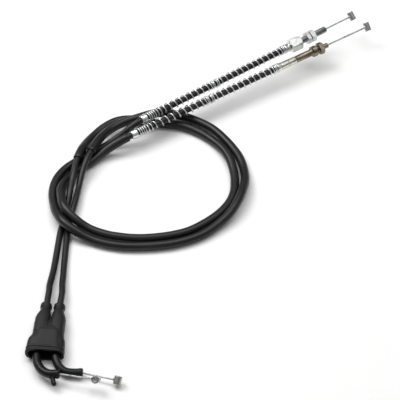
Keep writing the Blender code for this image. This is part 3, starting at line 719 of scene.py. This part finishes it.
def locating_peg():
    """A round-ended peg that stands on the push pipe, with a small weld fillet."""
    direction = (PEG_END - PEG_START).normalized()
    length = (PEG_END - PEG_START).length
    line = straight(PEG_START, direction, SHORT)
    foot = ELBOW_R - 0.2
    rows = [(foot - 0.4, PEG_R + 0.9), (foot + 0.1, PEG_R + 0.75), (foot + 0.4, PEG_R + 0.3),
            (foot + 0.8, PEG_R + 0.05)]
    rows += [(z, PEG_R) for z in steps_between(foot + 1.0, length - PEG_R, 0.5)]
    rows += [(length - PEG_R + PEG_R * math.sin(a), max(PEG_R * math.cos(a), 0.02))
             for a in np.linspace(0.2, math.pi / 2, 8)]
    piece = sweep("push_pipe_peg", line, rows, 32)
    finish_piece(piece, "cable_set", PIPE, "black_pipe", "locating_peg")


def oval_loft(name, rows, sides):
    """A closed body through oval rows; each is (y, middle x, half width, half height, squareness)."""
    form = bmesh.new()
    rings = []
    for y, middle, half_width, half_height, power in rows:
        ring = []
        for i in range(sides):
            angle = math.tau * i / sides
            c, s = math.cos(angle), math.sin(angle)
            x = middle + half_width * math.copysign(abs(c) ** power, c)
            z = half_height * math.copysign(abs(s) ** power, s)
            ring.append(form.verts.new((x * MM, y * MM, z * MM)))
        rings.append(ring)
    for a, b in zip(rings, rings[1:]):
        for i in range(sides):
            j = (i + 1) % sides
            form.faces.new((a[i], a[j], b[j], b[i]))
    form.faces.new(rings[0])
    form.faces.new(rings[-1])
    bmesh.ops.recalc_face_normals(form, faces=form.faces)
    mesh = bpy.data.meshes.new(name)
    form.to_mesh(mesh)
    form.free()
    made = bpy.data.objects.new(name, mesh)
    bpy.context.scene.collection.objects.link(made)
    return made


def baked(thing, name):
    """The object with its modifiers applied, as a new object."""
    bpy.context.view_layer.update()
    graph = bpy.context.evaluated_depsgraph_get()
    mesh = bpy.data.meshes.new_from_object(thing.evaluated_get(graph))
    mesh.name = name
    made = bpy.data.objects.new(name, mesh)
    made.matrix_world = thing.matrix_world.copy()
    bpy.context.scene.collection.objects.link(made)
    return made


def between(rows, step):
    """Rows in smooth steps between the given rows."""
    table = np.array(rows, float)
    y = np.arange(table[0, 0], table[-1, 0] + step * 0.5, step)
    return [tuple([v, *[float(np.interp(v, table[:, 0], table[:, k])) for k in range(1, 5)]]) for v in y]


def boot_body():
    """The boot's wide body, from the stepped skirt round its mouth."""
    skirt = [(0.0, 0.0, 15.5, 6.65, 0.62), (0.4, 0.0, 16.0, 6.98, 0.62), (1.6, 0.0, 16.0, 6.98, 0.62),
             (2.1, 0.0, 15.6, 6.1, 0.62), (3.4, 0.0, 15.6, 6.1, 0.62), (3.9, 0.0, 15.95, 6.98, 0.62),
             (5.2, 0.0, 15.95, 7.0, 0.62), (5.8, 0.0, 15.75, 6.5, 0.62), (12.0, 0.0, 15.5, 6.6, 0.6),
             (14.5, 0.0, 15.1, 6.6, 0.6), (16.5, 0.1, 14.3, 6.6, 0.62), (19.0, 0.5, 13.3, 6.5, 0.66),
             (24.0, 0.3, 12.9, 6.4, 0.7), (31.0, 0.2, 12.6, 5.4, 0.75), (34.0, 0.1, 11.0, 4.0, 0.8),
             (38.0, 0.0, 8.6, 2.2, 0.85)]
    return oval_loft("boot_body_form", between(skirt, 0.5), 96)


def boot_additions():
    """The two lipped necks and the raised panel."""
    forms = []
    for side in (-1, 1):
        middle = side * NECK_OFFSET
        neck = [(22.0, middle * 1.12, 6.5, 6.3, 0.8), (31.0, middle * 1.13, 6.55, 6.1, 0.84),
                (38.0, middle * 1.13, 6.5, 5.8, 0.88), (41.0, middle * 1.1, 6.1, 5.5, 0.92),
                (44.0, middle * 1.04, 5.3, 5.1, 0.96), (46.5, middle, 4.65, 4.65, 1.0),
                (48.5, middle, 4.2, 4.2, 1.0), (49.6, middle, 4.15, 4.15, 1.0),
                (50.4, middle, 4.85, 4.85, 1.0), (BOOT_LENGTH - 0.6, middle, 4.85, 4.85, 1.0),
                (BOOT_LENGTH, middle, 4.4, 4.4, 1.0)]
        forms.append(oval_loft(f"boot_neck_form_{side}", between(neck, 0.5), 64))
    panel = [(4.8, 0.8, 11.4, 6.85, 0.35), (22.0, 0.6, 9.2, 6.9, 0.35), (27.0, 0.4, 6.8, 6.2, 0.35)]
    forms.append(oval_loft("boot_panel_form", panel, 64))
    return forms


def boot_cuts():
    """The hollow inside, the bores of the necks and the crease between the necks."""
    hollow = [(-1.0, 0.0, 15.4 - BOOT_WALL, 6.95 - BOOT_WALL, 0.62),
              (14.0, 0.3, 14.2 - BOOT_WALL, 6.8 - BOOT_WALL, 0.65),
              (31.0, 0.2, 12.2 - BOOT_WALL, 6.1 - BOOT_WALL, 0.7)]
    forms = [oval_loft("boot_hollow_form", hollow, 96)]
    for side in (-1, 1):
        bore = [(y, side * NECK_OFFSET, NECK_BORE_R, NECK_BORE_R, 1.0) for y in (25.0, BOOT_LENGTH + 1.0)]
        forms.append(oval_loft(f"boot_bore_form_{side}", bore, 48))
    crease = [(25.5, -1.0, 0.2, 0.3, 1.0), (28.0, -0.9, 0.6, 0.7, 1.0), (31.0, -0.7, 0.8, 1.1, 1.0),
              (34.0, -0.5, 0.95, 2.2, 1.0), (38.0, -0.2, 1.1, 3.6, 1.0), (46.0, 0.0, 1.3, 4.6, 1.0)]
    valley = oval_loft("boot_crease_form", between(crease, 0.5), 32)
    valley.data.transform(Matrix.Translation((0.0, 0.0, CREASE_HEIGHT * MM)))
    forms.append(valley)
    return forms


def boot():
    """The rubber boot: its forms joined and cut, then remeshed as one soft moulded skin."""
    body = boot_body()
    union, cuts = boot_additions(), boot_cuts()
    for operation, group in (("UNION", union), ("DIFFERENCE", cuts)):
        for tool in group:
            step = body.modifiers.new(operation.lower(), "BOOLEAN")
            step.operation = operation
            step.solver = "EXACT"
            step.object = tool
    skin = body.modifiers.new("skin", "REMESH")
    skin.mode = "VOXEL"
    skin.voxel_size = 0.28 * MM
    skin.use_smooth_shade = True
    soften = body.modifiers.new("soften", "SMOOTH")
    soften.factor = 0.5
    soften.iterations = 5
    piece = baked(body, "grip_boot")
    for form in (body, *union, *cuts):
        bpy.data.objects.remove(form)
    turn = Matrix.Rotation(-math.atan2(BOOT_AXIS.x, BOOT_AXIS.y), 4, "Z")
    piece.data.transform(Matrix.Translation((BOOT_MOUTH - ORIGIN) * MM) @ turn)
    piece.data.shade_smooth()
    finish_piece(piece, "boot", RUBBER, "rubber", "boot")


# --- floor, light and camera ------------------------------------------------------------------

def floor():
    """A wide sheet of paper under the set."""
    mesh = bpy.data.meshes.new("floor")
    reach = 6.0
    mesh.from_pydata([(-reach, -reach, 0), (reach, -reach, 0), (reach, reach, 0), (-reach, reach, 0)], [],
                     [(0, 1, 2, 3)])
    made = bpy.data.objects.new("floor", mesh)
    bpy.context.scene.collection.objects.link(made)
    mesh.materials.append(pale_floor("floor_paper"))


def soft_light(name, place, power, size):
    """A square softbox, aimed at the origin."""
    data = bpy.data.lights.new(name, "AREA")
    data.energy = power
    data.size = size
    made = bpy.data.objects.new(name, data)
    bpy.context.scene.collection.objects.link(made)
    made.location = place
    made.rotation_euler = (-Vector(place)).to_track_quat("-Z", "Y").to_euler()


def studio():
    """A dim room, brighter overhead, with softboxes behind to the left, above, and to the right."""
    world = bpy.data.worlds.new("studio")
    bpy.context.scene.world = world
    world.use_nodes = True
    tree = world.node_tree
    direction = tree.nodes.new("ShaderNodeTexCoord")
    split = tree.nodes.new("ShaderNodeSeparateXYZ")
    shade = tree.nodes.new("ShaderNodeValToRGB")
    shade.color_ramp.elements[0].position = 0.05
    shade.color_ramp.elements[0].color = (0.10, 0.10, 0.105, 1.0)
    shade.color_ramp.elements[1].position = 0.95
    shade.color_ramp.elements[1].color = (0.56, 0.56, 0.56, 1.0)
    tree.links.new(direction.outputs["Generated"], split.inputs["Vector"])
    tree.links.new(split.outputs["Z"], shade.inputs["Fac"])
    tree.links.new(shade.outputs["Color"], tree.nodes["Background"].inputs["Color"])
    soft_light("key", (-0.95, 0.6, 1.5), 20.0, 1.0)
    soft_light("overhead", (0.15, 0.5, 2.0), 14.0, 1.3)
    soft_light("card", (1.16, 0.08, 1.74), 1.7, 0.75)
    bpy.context.scene.view_settings.view_transform = "Standard"


def camera():
    """The photograph's view, aimed at the middle of the layout."""
    elevation = math.radians(CAMERA_ELEVATION)
    target = Vector(layout((0.0, 0.0, 0.0)))
    data = bpy.data.cameras.new("camera")
    data.sensor_width = 36.0
    data.lens = data.sensor_width * CAMERA_DISTANCE / (SEEN_WIDTH * MM)
    made = bpy.data.objects.new("camera", data)
    bpy.context.scene.collection.objects.link(made)
    made.location = target + Vector((0.0, -math.cos(elevation), math.sin(elevation))) * CAMERA_DISTANCE
    made.rotation_euler = (math.pi / 2 - elevation, 0.0, 0.0)
    bpy.context.scene.camera = made


def carried_over():
    """The CAD nodes that stay: inner wires and crimp caps, which only show inside the boot and bores."""
    for node, material in (("pull_core_wire", WIRE), ("push_core_wire", WIRE), ("pull_crimp_cap", ZINC),
                           ("push_crimp_cap", ZINC)):
        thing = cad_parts[node]
        for slot in thing.material_slots:
            slot.material = material


camera()
floor()
studio()
for cable_name in ("pull", "push"):
    cable(cable_name)
pull_adjuster()
push_fittings()
carb_wire("pull", PULL_TIP, PULL_NIPPLE)
carb_wire("push", PUSH_TUBE[1], PUSH_NIPPLE)
nipple("pull_nipple_carb", PULL_START + PULL_AXIS * PULL_NIPPLE, PULL_CARB_ACROSS, CARB_NIPPLE, PULL_AXIS,
       "pull_carb_end", "pull_carb_nipple")
nipple("push_nipple_carb", PUSH_START + PUSH_AXIS * PUSH_NIPPLE, PUSH_CARB_ACROSS, CARB_NIPPLE, PUSH_AXIS,
       "push_carb_end", "push_carb_nipple")
pull_way = elbow("pull", PULL_ELBOW, PULL_GRIP_NIPPLE)
push_way = elbow("push", PUSH_ELBOW, PUSH_GRIP_NIPPLE)
nipple("pull_nipple_grip", PULL_GRIP_NIPPLE, PULL_GRIP_ACROSS, GRIP_NIPPLE, pull_way,
       "pull_grip_end", "pull_grip_nipple")
nipple("push_nipple_grip", PUSH_GRIP_NIPPLE, PUSH_GRIP_ACROSS, GRIP_NIPPLE, push_way,
       "push_grip_end", "push_grip_nipple")
locating_peg()
boot()
carried_over()
